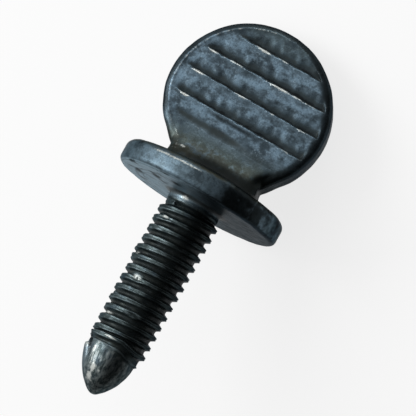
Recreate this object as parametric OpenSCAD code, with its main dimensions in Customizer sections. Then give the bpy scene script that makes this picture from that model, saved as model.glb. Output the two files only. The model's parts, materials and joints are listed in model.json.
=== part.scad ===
// Thumb screw: a round flat blade with finger grooves on both faces, a waisted
// neck, a shoulder flange, and a coarse right-hand thread ending in a bullet
// point. It is one forged piece. The screw is built upright on the Z axis with
// the shoulder's flat seat at height 0 and the blade above it, then laid on
// its back, where it rests on the shoulder's rim and on the blade's crown.
// Millimetres.

/* [Blade] */
// Radius of the round blade
blade_r = 10.85; // [9:0.05:13]
// Thickness of the blade between its two faces
blade_t = 4.5; // [3.4:0.1:6]
// Radius of the blade's rounded edge
blade_edge_r = 0.85; // [0.3:0.05:1.4]

/* [Grooves] */
// Number of finger grooves on each face
groove_count = 5; // [1:1:5]
// Spacing of the grooves along the screw's axis
groove_pitch = 3.3; // [2.6:0.05:3.6]
// Width of a groove at the face
groove_w = 1.15; // [0.6:0.05:1.6]
// Depth of a full groove
groove_d = 0.45; // [0.2:0.05:0.8]
// Depth of the groove nearest the neck, where the die is worn
worn_groove_d = 0.2; // [0.1:0.05:0.8]
// Distance from the crown to the first groove's lower lip
groove_start = 3.6; // [2:0.1:4.5]
// Plain border left between the groove ends and the blade's edge
groove_border = 1.45; // [1:0.05:2.4]

/* [Neck] */
// Width of the waist between blade and shoulder
neck_w = 12.3; // [10:0.1:15]
// Height of the waist, from the shoulder up to the round of the blade
neck_h = 5.6; // [4:0.05:8]
// How far each face spreads forward where the neck meets the shoulder
neck_flare = 2.1; // [0.8:0.1:3]
// Radius of the neck's rounded corners at the shoulder
neck_edge_r = 1.8; // [0.6:0.1:2.6]

/* [Shoulder] */
// Radius of the shoulder flange
shoulder_r = 11.2; // [9.5:0.05:14]
// Height of the shoulder's rim
shoulder_h = 3.1; // [2.2:0.05:5]
// Radius of the rounding on the rim's upper edge
shoulder_top_r = 1.0; // [0.4:0.05:1.4]
// Radius of the rounding on the rim's lower edge
shoulder_seat_r = 0.45; // [0.2:0.05:0.7]
// Slope of the shoulder's crowned top, in degrees
shoulder_slope = 9; // [4:1:16]

/* [Shank] */
// Outside diameter of the thread
thread_d = 7.92; // [6:0.02:9]
// Pitch of the thread, 18 turns to the inch
thread_pitch = 1.411; // [1.25:0.001:1.75]
// Length of the threaded shank between the plain neck and the point
thread_l = 20.65; // [10:0.05:40]
// Length of the plain neck under the shoulder
relief_l = 1.0; // [0.8:0.05:3]
// Radius of the fillet between the plain neck and the seat
relief_fillet_r = 0.5; // [0.2:0.05:0.6]

/* [Point] */
// Length of the bullet point
point_l = 5.6; // [4.5:0.1:9]
// Radius of the blunt nose
nose_r = 1.3; // [0.8:0.05:1.9]

/* [Hidden] */
$fn = 96;

steel = [0.29, 0.34, 0.37];
// Margin by which cuts pass the faces they open, and joined shapes reach into each other
overlap = 0.5;

// --- Blade and neck -------------------------------------------------------
// Angle below the blade's centre line at which the outline leaves the round
leave_a = 24;
// Height at which the neck grows out of the crowned shoulder
neck_foot_z = shoulder_h + (shoulder_r - shoulder_top_r - neck_w / 2) * tan(shoulder_slope);
blade_z = neck_foot_z + neck_h + blade_r * sin(leave_a);
leave_z = blade_z - blade_r * sin(leave_a);
// Share of the neck's height that each of its curve's two handles takes
neck_pull = 0.5;
neck_steps = 12;
round_steps = 30;
edge_steps = 4;

function mix(a, b, share) = a + (b - a) * share;

// A cubic curve through p[0] and p[3], pulled towards p[1] and p[2], and its direction
function curve_at(p, s) =
    pow(1 - s, 3) * p[0] + 3 * pow(1 - s, 2) * s * p[1] + 3 * (1 - s) * s * s * p[2] + pow(s, 3) * p[3];
function curve_way(p, s) =
    pow(1 - s, 2) * (p[1] - p[0]) + 2 * (1 - s) * s * (p[2] - p[1]) + s * s * (p[3] - p[2]);

neck_curve = [
    [neck_w / 2, neck_foot_z],
    [neck_w / 2, neck_foot_z + neck_pull * neck_h],
    [blade_r * cos(leave_a), leave_z] - neck_pull * neck_h * [sin(leave_a), cos(leave_a)],
    [blade_r * cos(leave_a), leave_z],
];

// How far down the neck a height lies: 0 at the blade, 1 at the shoulder and below
function neck_share(z) = min(1, max(0, (leave_z - z) / neck_h));
function half_thickness(z) = blade_t / 2 + neck_flare * pow(neck_share(z), 2.5);
// The rounding grows down the neck, and always leaves a little of the side flat
function edge_radius(z) = min(mix(blade_edge_r, neck_edge_r, neck_share(z)), 0.9 * half_thickness(z));

// One station of the outline: its point, its outward direction, half thickness and edge radius
function station(point, out) = [point, out / norm(out), half_thickness(point[1]), edge_radius(point[1])];

// The outline's right half, from inside the shoulder up over the neck and round to the crown
half_outline = concat(
    [station([neck_w / 2, neck_foot_z - overlap], [1, 0])],
    [for (i = [0:neck_steps - 1])
        let (s = i / neck_steps, way = curve_way(neck_curve, s))
        station(curve_at(neck_curve, s), [way[1], -way[0]])],
    [for (i = [0:round_steps])
        let (a = mix(-leave_a, 90, i / round_steps))
        station([blade_r * cos(a), blade_z + blade_r * sin(a)], [cos(a), sin(a)])]
);
half_count = len(half_outline);

// Points from one face over the rounded edge to the other face, at a station on side 1 or -1
function edge_points(st, side) = [
    for (face = [-1, 1], i = [0:edge_steps])
        let (a = face < 0 ? 90 * i / edge_steps : 90 - 90 * i / edge_steps,
             inset = st[3] * (1 - sin(a)),
             across = st[0] - inset * st[1])
        [face * (st[2] - st[3] * (1 - cos(a))), side * across[0], across[1]]
];

// The whole outline runs up one side and down the other, sharing the crown's station
outline_points = [
    for (i = [0:2 * half_count - 2])
        let (k = min(i, 2 * half_count - 2 - i))
        edge_points(half_outline[k], i < half_count ? 1 : -1)
];

// A closed skin over rows of points: rows joined in turn, and each face closed strip by strip
// between the two rows at the same height
module blade_and_neck() {
    rows = len(outline_points);
    cols = len(outline_points[0]);
    mid = half_count - 1;
    skin = [for (r = [0:rows - 2], c = [0:cols - 2])
        [r * cols + c, r * cols + c + 1, (r + 1) * cols + c + 1, (r + 1) * cols + c]];
    faces_front = [for (r = [0:mid - 1])
        let (m = rows - 1 - r, last = r == mid - 1)
        concat([r * cols, (r + 1) * cols], last ? [] : [(m - 1) * cols], [m * cols])];
    faces_back = [for (f = faces_front) [for (i = [len(f) - 1:-1:0]) f[i] + cols - 1]];
    foot = concat(
        [for (c = [cols - 1:-1:0]) c],
        [for (c = [0:cols - 1]) (rows - 1) * cols + c]
    );
    polyhedron(
        points = [for (row = outline_points, p = row) p],
        faces = concat(skin, faces_front, faces_back, [foot])
    );
}

// --- Grooves --------------------------------------------------------------
groove_field_r = blade_r - groove_border;
// Share of a groove's width taken by its steep lower wall
groove_steep = 0.22;

// A groove's cutter: a long flat slope down from above and a steep wall up to the lower lip
module groove_cut(depth) {
    reach = overlap / depth;
    linear_extrude(height = 2 * blade_r, center = true)
        polygon([
            [-overlap, -groove_steep * groove_w * reach],
            [depth, groove_steep * groove_w],
            [-overlap, groove_w + (1 - groove_steep) * groove_w * reach],
        ]);
}

// The grooves of one face, kept inside the plain border
module face_grooves() {
    intersection() {
        for (i = [0:groove_count - 1]) {
            depth = i < groove_count - 1 ? groove_d : worn_groove_d;
            translate([-blade_t / 2, 0, blade_z + blade_r - groove_start - i * groove_pitch])
                rotate([90, 0, 0])
                groove_cut(depth);
        }
        translate([0, 0, blade_z])
            rotate([0, 90, 0])
            cylinder(r = groove_field_r, h = 2 * blade_t, center = true);
    }
}

// --- Shoulder -------------------------------------------------------------
// The rim's upper rounding, and where the crowned top leaves it
rim_c = [shoulder_r - shoulder_top_r, shoulder_h - shoulder_top_r];
crown_edge = rim_c + shoulder_top_r * [sin(shoulder_slope), cos(shoulder_slope)];
crown_z = crown_edge[1] + crown_edge[0] * tan(shoulder_slope);

module shoulder() {
    seat_c = [shoulder_r - shoulder_seat_r, shoulder_seat_r];
    rotate_extrude() {
        polygon([
            [0, 0],
            [seat_c[0], 0],
            [shoulder_r, seat_c[1]],
            [shoulder_r, rim_c[1]],
            crown_edge,
            [0, crown_z],
        ]);
        translate(rim_c)
            circle(r = shoulder_top_r);
        translate(seat_c)
            circle(r = shoulder_seat_r);
    }
}

// --- Shank ----------------------------------------------------------------
// A 60 degree thread: ridges with crests an eighth of the pitch wide, over a root twice that wide
thread_r = thread_d / 2;
flank_w = thread_pitch * 5 / 16;
root_r = thread_r - flank_w / tan(30);
crest_w = thread_pitch / 8;
root_w = thread_pitch / 4;
// The plain neck and the point keep the diameter of the blank that the thread was rolled on
blank_r = (thread_r + root_r) / 2 - thread_pitch / 32;

thread_top_z = -relief_l;
point_top_z = thread_top_z - thread_l;
tip_z = point_top_z - point_l;

module plain_neck() {
    run_out = blank_r - root_r;
    rotate_extrude() {
        polygon([
            [0, overlap],
            [blank_r, overlap],
            [blank_r, thread_top_z],
            [root_r - run_out, thread_top_z - 2 * run_out],
            [0, thread_top_z - 2 * run_out],
        ]);
        difference() {
            translate([0, -relief_fillet_r])
                square([blank_r + relief_fillet_r, relief_fillet_r + overlap]);
            translate([blank_r + relief_fillet_r, -relief_fillet_r])
                circle(r = relief_fillet_r);
        }
    }
}

// The thread is one closed rod, skinned along its helix and reaching into the neck and the point
turn_steps = 32;
// Turns over which the ridge grows out of the neck and dies away at the point
fade_turns = 0.5;
// Angle round the screw at which the thread starts
thread_start_a = 143;
rod_reach = thread_pitch / 2;
rod_top_z = thread_top_z + rod_reach;
rod_steps = floor(((thread_l + 2 * rod_reach) / thread_pitch - 1) * turn_steps);

function ridge_share(step) =
    min(1, step / turn_steps / fade_turns, (rod_steps - step) / turn_steps / fade_turns);

// The ridge's section at one step, from the root above it over the crest to the root below
function ridge_points(step) =
    let (a = thread_start_a - 360 * step / turn_steps,
         z = rod_top_z - thread_pitch * step / turn_steps,
         crest = mix(root_r, thread_r, ridge_share(step)),
         first = root_w / 2,
         section = [
             [root_r, first],
             [crest, first + flank_w],
             [crest, first + flank_w + crest_w],
             [root_r, first + 2 * flank_w + crest_w],
         ])
    [for (p = section) [p[0] * cos(a), p[0] * sin(a), z - p[1]]];

module threaded_rod() {
    cols = 4;
    last = rod_steps;
    first = last - turn_steps;
    bottom_z = rod_top_z - thread_pitch * (last / turn_steps + 1);
    points = concat([for (s = [0:last]) each ridge_points(s)], [[0, 0, rod_top_z], [0, 0, bottom_z]]);
    top = len(points) - 2;
    bottom = len(points) - 1;
    ridge = [for (s = [0:last - 1], c = [0:cols - 2])
        [s * cols + c, s * cols + c + 1, (s + 1) * cols + c + 1, (s + 1) * cols + c]];
    root = [for (s = [0:first - 1])
        let (below = s + turn_steps)
        [s * cols + cols - 1, below * cols, (below + 1) * cols, (s + 1) * cols + cols - 1]];
    top_cap = concat(
        [for (s = [0:turn_steps - 1]) [top, s * cols, (s + 1) * cols]],
        [for (c = [0:cols - 2]) [top, c + 1, c]],
        [[top, turn_steps * cols, cols - 1]]
    );
    bottom_cap = concat(
        [for (s = [first:last - 1]) [bottom, (s + 1) * cols + cols - 1, s * cols + cols - 1]],
        [for (c = [0:cols - 2]) [bottom, last * cols + c, last * cols + c + 1]],
        [[bottom, first * cols + cols - 1, last * cols]]
    );
    polyhedron(points = points, faces = concat(ridge, root, top_cap, bottom_cap));
}

// --- Point ----------------------------------------------------------------
// A bullet: an arc that leaves the shank straight down and runs smoothly into a round nose
nose_z = tip_z + nose_r;
bullet_r = (pow(blank_r, 2) + pow(point_l - nose_r, 2) - pow(nose_r, 2)) / (2 * (blank_r - nose_r));
nose_cut_z = point_top_z + (nose_z - point_top_z) * bullet_r / (bullet_r - nose_r);

module point() {
    run_out = blank_r - root_r;
    rotate_extrude() {
        polygon([
            [0, point_top_z],
            [blank_r, point_top_z],
            [root_r - run_out, point_top_z + 2 * run_out],
            [0, point_top_z + 2 * run_out],
        ]);
        intersection() {
            translate([blank_r - bullet_r, point_top_z])
                circle(r = bullet_r);
            translate([0, nose_cut_z])
                square([blank_r, point_top_z - nose_cut_z]);
        }
    }
    translate([0, 0, nose_z])
        sphere(r = nose_r);
}

// --- Whole screw ----------------------------------------------------------
module upright_screw() {
    difference() {
        blade_and_neck();
        face_grooves();
        mirror([1, 0, 0])
            face_grooves();
    }
    shoulder();
    plain_neck();
    threaded_rod();
    point();
}

// Lying on its back: the tilt at which the shoulder's rim and the blade's crown both touch the floor
rest_rim = shoulder_r - shoulder_top_r - blade_t / 2 + blade_edge_r;
rest_span = blade_z + blade_r - blade_edge_r - rim_c[1];
lie_a = atan2(rest_rim, rest_span) - asin((blade_edge_r - shoulder_top_r) / norm([rest_rim, rest_span]));
seat_height = rim_c[0] * cos(lie_a) + rim_c[1] * sin(lie_a) + shoulder_top_r;
// Ends of the lying screw along the floor, measured from the seat's centre
crown_x = (blade_z + blade_r - blade_edge_r) * cos(lie_a)
    + (blade_t / 2 - blade_edge_r) * sin(lie_a) + blade_edge_r;
nose_x = nose_z * cos(lie_a) - nose_r;

module thumb_screw() {
    color(steel)
        translate([-(crown_x + nose_x) / 2, 0, seat_height])
        rotate([0, 90 + lie_a, 0])
        upright_screw();
}

thumb_screw();
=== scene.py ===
"""The looks of the thumb screw: its worn forging and thread, its metal, the studio and the camera.

The screw is modelled upright in millimetres, with its axis on Z, the flat seat at height 0,
the front face towards -X, its left towards +Y and its blade above, and is then laid where the
frame's seat is.
"""

import json
import math

import bmesh
import bpy
import numpy as np
from mathutils import Matrix, Vector, noise


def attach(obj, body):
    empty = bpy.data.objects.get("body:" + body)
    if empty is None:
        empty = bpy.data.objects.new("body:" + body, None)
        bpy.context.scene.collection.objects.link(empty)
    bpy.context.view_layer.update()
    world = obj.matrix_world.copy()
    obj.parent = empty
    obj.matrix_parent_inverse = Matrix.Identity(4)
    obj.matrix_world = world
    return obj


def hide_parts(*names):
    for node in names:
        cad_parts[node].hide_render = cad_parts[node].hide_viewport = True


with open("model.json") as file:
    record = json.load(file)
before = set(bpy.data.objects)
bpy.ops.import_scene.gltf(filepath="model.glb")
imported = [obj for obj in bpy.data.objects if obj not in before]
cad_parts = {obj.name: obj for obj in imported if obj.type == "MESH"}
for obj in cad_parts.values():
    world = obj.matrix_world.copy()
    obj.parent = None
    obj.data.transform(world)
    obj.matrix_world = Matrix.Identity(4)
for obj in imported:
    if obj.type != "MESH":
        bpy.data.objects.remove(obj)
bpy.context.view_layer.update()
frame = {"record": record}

MM = 0.001
MOUNTS = {mount["name"]: mount for mount in frame["record"]["mounts"]}
SEAT = Vector(MOUNTS["seat"]["pos_m"])
TO_TIP = Vector(MOUNTS["seat"]["axis"])
LIE = math.asin(TO_TIP.z)

# --- Driving sizes, in millimetres ---
# Blade: radius, thickness and the radius of its rounded edge
BLADE_R = 10.85
BLADE_T = 4.5
BLADE_EDGE = 0.85
# Grooves: from lip to lip, width and depth, depth of the worn one, and the border round them
GROOVE_PITCH = 3.3
GROOVE_W = 1.15
GROOVE_D = 0.45
WORN_GROOVE_D = 0.2
GROOVE_BORDER = 1.45
# Neck: width at its foot, height, what each face gains towards the foot, and its corners
NECK_W = 12.3
NECK_H = 5.6
NECK_FLARE = 2.1
NECK_EDGE = 1.8
# Flange: radius, height of its rim, edge round its top, worn edge round its seat, and its slope
FLANGE_R = 11.2
FLANGE_H = 3.1
FLANGE_TOP_EDGE = 1.0
WORN_SEAT_EDGE = 0.7
FLANGE_SLOPE = math.radians(9)
# Thread, the plain neck above it, and the point
THREAD_R = MOUNTS["thread"]["dims"]["r_mm"]
THREAD_L = MOUNTS["thread"]["dims"]["length_mm"]
PITCH = 1.411
RELIEF_L = 1.0
RELIEF_FILLET = 0.5
POINT_L = 5.6
NOSE_R = 1.3

# Angle below the blade's middle at which the neck's sides run into the blade's circle
LEAVE = math.radians(24)
NECK_FOOT = FLANGE_H + (FLANGE_R - FLANGE_TOP_EDGE - NECK_W / 2) * math.tan(FLANGE_SLOPE)
BLADE_Z = NECK_FOOT + NECK_H + BLADE_R * math.sin(LEAVE)
LEAVE_Z = NECK_FOOT + NECK_H
FIELD_R = BLADE_R - GROOVE_BORDER

# The thread's flank along the axis, its root, the rod it is rolled from and how it runs out
FLANK = PITCH * 5 / 16
ROOT_R = THREAD_R - FLANK / math.tan(math.radians(30))
BLANK_R = (THREAD_R + ROOT_R) / 2 - PITCH / 32
RUN_OUT = BLANK_R - ROOT_R
ROD_TOP = PITCH / 2 - RELIEF_L
POINT_TOP = -RELIEF_L - THREAD_L
TIP = POINT_TOP - POINT_L

# Edge length of the remeshed head's facets, and the most triangles that the whole skin keeps
GRAIN = 0.15
MOST_TRIANGLES = 194000


# --- Small tools ---
def mesh_of(bm):
    mesh = bpy.data.meshes.new("form")
    bm.to_mesh(mesh)
    bm.free()
    return mesh


def object_of(mesh, name):
    piece = bpy.data.objects.new(name, mesh)
    bpy.context.scene.collection.objects.link(piece)
    return piece


def settled(piece):
    """The piece's mesh with its modifiers applied; the piece itself goes."""
    depsgraph = bpy.context.evaluated_depsgraph_get()
    mesh = bpy.data.meshes.new_from_object(piece.evaluated_get(depsgraph))
    bpy.data.objects.remove(piece)
    return mesh


def verts_in(geometry):
    return [item for item in geometry if isinstance(item, bmesh.types.BMVert)]


def points_of(mesh):
    flat = np.empty(len(mesh.vertices) * 3)
    mesh.vertices.foreach_get("co", flat)
    return flat.reshape(-1, 3)


def normals_of(mesh):
    flat = np.empty(len(mesh.vertices) * 3, np.float32)
    mesh.vertex_normals.foreach_get("vector", flat)
    return flat.reshape(-1, 3).astype(float)


def set_points(mesh, points):
    mesh.vertices.foreach_set("co", points.ravel())
    mesh.update()


def smoothstep(low, high, x):
    share = np.clip((x - low) / (high - low), 0, 1)
    return share * share * (3 - 2 * share)


def near(off, reach):
    """1 where off is 0, dying away over the reach."""
    return np.exp(-(off / reach) ** 2)


def spot(across, along, reach, drop, power=2):
    """1 in the middle of a spot, dying away both ways; a higher power blunts its ends."""
    return np.exp(-(across / reach) ** 2 - (along / drop) ** power)


def ripple(points, size, seed):
    """Smooth noise from -1 to 1 over the points, with lumps about size across."""
    shift = Vector((seed * 17.3, seed * 5.7, seed * 11.1))
    return np.array([noise.noise(Vector(p) / size + shift) for p in points])


def rippled(points, layers, base=0):
    """Ripples on top of a base, each given as its strength, the size of its lumps and its seed."""
    return sum((strength * ripple(points, size, seed) for strength, size, seed in layers), base)


def arc(centre, radius, start, end, steps):
    """Points on an arc, angles in degrees from the first axis towards the second."""
    angles = [math.radians(start + (end - start) * k / steps) for k in range(steps + 1)]
    return [(centre[0] + radius * math.cos(a), centre[1] + radius * math.sin(a)) for a in angles]


def turned(profile, steps):
    """A solid of revolution round Z from a profile of (radius, height) points."""
    bm = bmesh.new()
    verts = [bm.verts.new((r, 0, z)) for r, z in profile]
    edges = [bm.edges.new(pair) for pair in zip(verts, verts[1:])]
    bmesh.ops.spin(bm, geom=verts + edges, cent=(0, 0, 0), axis=(0, 0, 1), dvec=(0, 0, 0),
                   angle=2 * math.pi, steps=steps, use_merge=True, use_duplicate=False)
    bmesh.ops.remove_doubles(bm, verts=bm.verts, dist=1e-5)
    bmesh.ops.recalc_face_normals(bm, faces=bm.faces)
    return bm


# --- Head: blade, neck, flange and plain neck ---
# How deep the neck starts inside the flange, and how far its top is tucked inside the blade
NECK_SUNK = 1.5
NECK_TUCK = 0.02
NECK_STEPS = 16


def blade():
    bm = bmesh.new()
    place = Matrix.Translation((0, 0, BLADE_Z)) @ Matrix.Rotation(math.pi / 2, 4, "Y")
    bmesh.ops.create_cone(bm, cap_ends=True, segments=192, radius1=BLADE_R, radius2=BLADE_R,
                          depth=BLADE_T, matrix=place)
    rims = [e for e in bm.edges if abs(e.verts[0].co.x - e.verts[1].co.x) < 1e-4]
    bmesh.ops.bevel(bm, geom=rims, offset=BLADE_EDGE, affect="EDGES", segments=6, profile=0.5,
                    material=-1)
    return bm


def neck_side(share):
    """Half the neck's width and its height, from the shoulder at 0 up to the blade at 1."""
    pull = 0.5 * NECK_H
    leave_y = BLADE_R * math.cos(LEAVE)
    handles = [
        Vector((NECK_W / 2, NECK_FOOT)),
        Vector((NECK_W / 2, NECK_FOOT + pull)),
        Vector((leave_y - pull * math.sin(LEAVE), LEAVE_Z - pull * math.cos(LEAVE))),
        Vector((leave_y, LEAVE_Z)),
    ]
    rest = 1 - share
    weights = [rest**3, 3 * rest**2 * share, 3 * rest * share**2, share**3]
    return sum((w * h for w, h in zip(weights, handles)), Vector((0, 0)))


def neck_half_thickness(z):
    down = min(1, max(0, (LEAVE_Z - z) / NECK_H))
    return BLADE_T / 2 + NECK_FLARE * down**2.5


def neck():
    """A block with rounded corners, drawn up from inside the flange into the blade."""
    bm = bmesh.new()
    foot = NECK_FOOT - NECK_SUNK
    low = (neck_half_thickness(foot), NECK_W / 2, foot)
    bmesh.ops.create_grid(bm, x_segments=1, y_segments=1, size=1)
    bmesh.ops.scale(bm, vec=(low[0], low[1], 1), verts=bm.verts)
    bmesh.ops.translate(bm, vec=(0, 0, foot), verts=bm.verts)
    bmesh.ops.bevel(bm, geom=bm.verts[:], offset=NECK_EDGE, affect="VERTICES", segments=6,
                    profile=0.5, material=-1)
    for k in range(NECK_STEPS + 1):
        half_w, z = neck_side(k / NECK_STEPS)
        high = (neck_half_thickness(z), half_w - NECK_TUCK * k / NECK_STEPS, z)
        top = max(bm.faces, key=lambda face: face.calc_center_median().z)
        verts = verts_in(bmesh.ops.extrude_face_region(bm, geom=[top])["geom"])
        bmesh.ops.delete(bm, geom=[top], context="FACES_ONLY")
        bmesh.ops.scale(bm, vec=(high[0] / low[0], high[1] / low[1], 1), verts=verts)
        bmesh.ops.translate(bm, vec=(0, 0, high[2] - low[2]), verts=verts)
        low = high
    bmesh.ops.recalc_face_normals(bm, faces=bm.faces)
    return bm


def flange():
    """The flange from its seat up, with the sloping top running up to the axis."""
    centre = (FLANGE_R - FLANGE_TOP_EDGE, FLANGE_H - FLANGE_TOP_EDGE)
    slope = math.degrees(FLANGE_SLOPE)
    seat = (FLANGE_R - WORN_SEAT_EDGE, WORN_SEAT_EDGE)
    rim = arc(seat, WORN_SEAT_EDGE, -90, 0, 6) + arc(centre, FLANGE_TOP_EDGE, 0, 90 - slope, 8)
    crown = rim[-1][1] + rim[-1][0] * math.tan(FLANGE_SLOPE)
    return turned([(0, 0)] + rim + [(0, crown)], 256)


def plain_neck():
    """The plain rod under the flange, from inside the flange to inside the thread's core."""
    fillet = arc((BLANK_R + RELIEF_FILLET, -RELIEF_FILLET), RELIEF_FILLET, 90, 180, 6)
    foot_z = -RELIEF_L - 2 * RUN_OUT
    inside = FLANGE_H / 2
    outline = [(0, inside), (BLANK_R + RELIEF_FILLET, inside)] + fillet
    outline += [(BLANK_R, -RELIEF_L), (ROOT_R - RUN_OUT, foot_z), (0, foot_z)]
    return turned(outline, 192)


def head_skin():
    """The parts of the head grown together into one even skin."""
    whole = bmesh.new()
    for form in (blade(), neck(), flange(), plain_neck()):
        mesh = mesh_of(form)
        whole.from_mesh(mesh)
        bpy.data.meshes.remove(mesh)
    piece = object_of(mesh_of(whole), "head")
    remesh = piece.modifiers.new("skin", "REMESH")
    remesh.mode = "VOXEL"
    remesh.voxel_size = GRAIN
    mesh = settled(piece)
    bm = bmesh.new()
    bm.from_mesh(mesh)
    for _ in range(3):
        bmesh.ops.smooth_vert(bm, verts=bm.verts, factor=0.5, use_axis_x=True, use_axis_y=True,
                              use_axis_z=True)
    bm.to_mesh(mesh)
    bm.free()
    return mesh


# --- Forging marks on the head ---
# Heights of the grooves' lower lips above the blade's centre, at the axis; the last is the
# worn groove's
LIPS = (7.25, 4.0, 0.68, -2.65, -5.6)
# Where each lip is worn bright and painted with a highlight: place y, reach along y, strength
SHINE = (
    ((1.3, 1.0, 1.0), (-1.9, 1.0, 0.6)),
    ((7.3, 1.0, 1.0), (3.3, 1.1, 0.6), (-2.8, 1.6, 1.0), (-5.8, 1.0, 0.5)),
    ((7.7, 1.2, 1.0), (1.1, 0.9, 0.7), (-3.5, 0.4, 0.6), (-8.0, 0.8, 0.6)),
    ((7.8, 0.8, 1.0), (-7.5, 0.5, 0.5)),
    ((3.5, 2.0, 0.3),),
)
# How far below its lip the wear and its painted highlight run, its width on a crisp and on the
# worn lip, how bright a crisp lip gets, and how dull it is where nothing rubs it
WEAR_AND_SHINE_BELOW = 0.07
WEAR_AND_SHINE_W = 0.19
WORN_LIP_WEAR_AND_SHINE_W = 0.22
WEAR_AND_SHINE_GAIN = 1.4
UNRUBBED = 0.4
# Rise of the lips towards the screw's left
LIP_RISE = 0.052
# Share of a groove's width taken by its steep lower wall
STEEP = 0.2
# Width of a groove with the long soft slope above it, and how the slope is bent
SLOPE_W = 2.0
SLOPE_BEND = 1.9
# The worn groove's middle above its lip, its reach both ways, how full it still is, and where
# it fades towards the right
WORN_MIDDLE = 0.65
WORN_REACH = 0.6
WORN_FULL = 0.9
WORN_FADE = (-4.0, 0.5)
# Burr along a lip: height, how far below the lip it stands, and its reach
BURR_H = 0.05
BURR_BELOW = 0.1
BURR_W = 0.12
# Ripples: how a lip wanders, how a slope's width and a groove's depth vary
LIP_WANDER = ((0.09, 2.6, 5), (0.0315, 0.7, 6))
SLOPE_SWING = ((0.3, 3.5, 7), (0.35, 0.9, 10))
DEPTH_SWING = ((0.2, 4.0, 8),)
# The grooved field: how much farther it reaches on the right, how far inside its edge it starts
# to fade and how far outside it is gone, and how much sooner it fades on the left
FIELD_RIGHT = 0.35
FIELD_FADE = 0.15
FIELD_GONE = 0.3
FIELD_LEFT_FADE = 1.2
# What counts as a face: how near its plane, how far above the neck's foot and inside the outline
FACE_NEAR = 0.3
FACE_ABOVE = 0.8
FACE_INSIDE = 0.4 * BLADE_EDGE
# Bulge of the ridges between the grooves, and the share of the pitch that it takes
PILLOW = 0.05
PILLOW_SHARE = 0.7
# The raised bead inside the faces' outline: how far in it runs, its height and its reach
BEAD_IN = 0.9
BEAD_H = 0.06
BEAD_W = 0.17
# Unevenness of the forging, as ripples from broad to fine
LUMPS = ((0.045, 3.2, 1), (0.02, 1.1, 2), (0.008, 0.5, 3))


def groove_depth(y, v, side):
    """Depth of the grooves at a place on a face, and where the place lies among their lines.

    That is how far its nearest crisp line is, its share of the way down from the lip above it to
    the one below, and how bright a worn lip with its painted highlight makes it, below 0 for a
    dull lip."""
    depth = np.zeros_like(y)
    crisp = np.full_like(y, 9.0)
    ridge = np.zeros_like(y)
    lip_line = np.zeros_like(y)
    floor_at = STEEP * GROOVE_W
    for k, lip in enumerate(LIPS):
        worn = k == len(LIPS) - 1
        line = np.stack([y, 0 * y + 7 * k, 0 * y + 3 * side], 1)
        above = v - (lip + LIP_RISE * y + rippled(line, LIP_WANDER))
        ridge = np.where((above > 0) & (above < GROOVE_PITCH), 1 - above / GROOVE_PITCH, ridge)
        # The lips' bright stretches: partly wear, partly painted highlight
        shine = sum(part * near(y - at, reach) for at, reach, part in SHINE[k])
        shiny = near(above + WEAR_AND_SHINE_BELOW, WORN_LIP_WEAR_AND_SHINE_W if worn else WEAR_AND_SHINE_W)
        lip_line += shiny * (shine if worn else WEAR_AND_SHINE_GAIN * np.clip(shine, 0, 1) - UNRUBBED)
        full = (WORN_GROOVE_D if worn else GROOVE_D) * rippled(line, DEPTH_SWING, 1)
        if worn:
            fading = smoothstep(*WORN_FADE, y)
            hollow = WORN_FULL * full * fading * near(above - WORN_MIDDLE, WORN_REACH)
            depth = np.maximum(depth, hollow)
            continue
        width = SLOPE_W * rippled(line, SLOPE_SWING, 1)
        wall = np.clip(above / floor_at, 0, 1)
        slope = np.clip((width - above) / (width - floor_at), 0, 1) ** SLOPE_BEND
        depth = np.maximum(depth, full * np.minimum(wall, slope) * (above > 0))
        torn = smoothstep(-0.2, 0.6, ripple(line, 1.1, 9))
        depth -= BURR_H * (near(above + BURR_BELOW, BURR_W) * torn)
        for offset in (0, floor_at):
            nearer = np.abs(above - offset) < np.abs(crisp)
            crisp = np.where(nearer, above - offset, crisp)
    return depth, crisp, ridge, lip_line


def field_share(y, v):
    """1 within the grooved field and 0 beyond it; the grooves' left ends run out gently."""
    left = smoothstep(-1, 4, y)
    edge = FIELD_R + FIELD_RIGHT * (1 - left)
    fading = edge - FIELD_FADE - FIELD_LEFT_FADE * left
    return 1 - smoothstep(fading, edge + FIELD_GONE, np.hypot(y, v))


def inside_outline(y, z):
    """How far a place on a face lies inside the outline of the blade and the neck."""
    widths, heights = zip(*(neck_side(k / 24) for k in range(25)))
    across = np.interp(z, heights, widths) - np.abs(y)
    square = 1 - smoothstep(NECK_FOOT, LEAVE_Z, z) * (1 - math.cos(LEAVE))
    return np.where(z > LEAVE_Z, BLADE_R - np.hypot(y, z - BLADE_Z), across * square)


def forge_faces(mesh):
    """Presses the grooves into both faces, pillows the ridges and raises the bead round them."""
    points = points_of(mesh)
    y, z = points[:, 1], points[:, 2].copy()
    half = np.array([neck_half_thickness(level) for level in z])
    border = inside_outline(y, z)
    for side in (-1, 1):
        on_face = np.abs(points[:, 0] * side - half) < FACE_NEAR
        on_face &= (z > NECK_FOOT + FACE_ABOVE) & (border > FACE_INSIDE)
        yf, zf = y[on_face], z[on_face]
        v = zf - BLADE_Z
        depth, crisp, *_ = groove_depth(yf, v, side)
        inside = field_share(yf, v)
        snap = np.where(np.abs(crisp) < GRAIN / 2, crisp, 0) * (inside > 0.5)
        period = ((LIPS[0] + LIP_RISE * yf - v) / GROOVE_PITCH) % 1
        bulge = PILLOW * np.sin(math.pi * np.clip(period / PILLOW_SHARE, 0, 1)) * inside
        fading = 0.25 + 0.75 * smoothstep(-5, 3, yf)
        fading *= 0.35 + 0.65 * smoothstep(LEAVE_Z - 1, LEAVE_Z + 4, zf)
        bead = BEAD_H * near(border[on_face] - BEAD_IN, BEAD_W) * fading
        points[on_face, 0] += side * (bulge + bead - depth * inside)
        points[on_face, 2] -= snap
    set_points(mesh, points)


def roughen(mesh):
    """Low, broad unevenness of the forging, and a finer one over it."""
    points = points_of(mesh)
    points += normals_of(mesh) * rippled(points, LUMPS)[:, None]
    set_points(mesh, points)


def head():
    mesh = head_skin()
    roughen(mesh)
    forge_faces(mesh)
    return mesh


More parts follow.
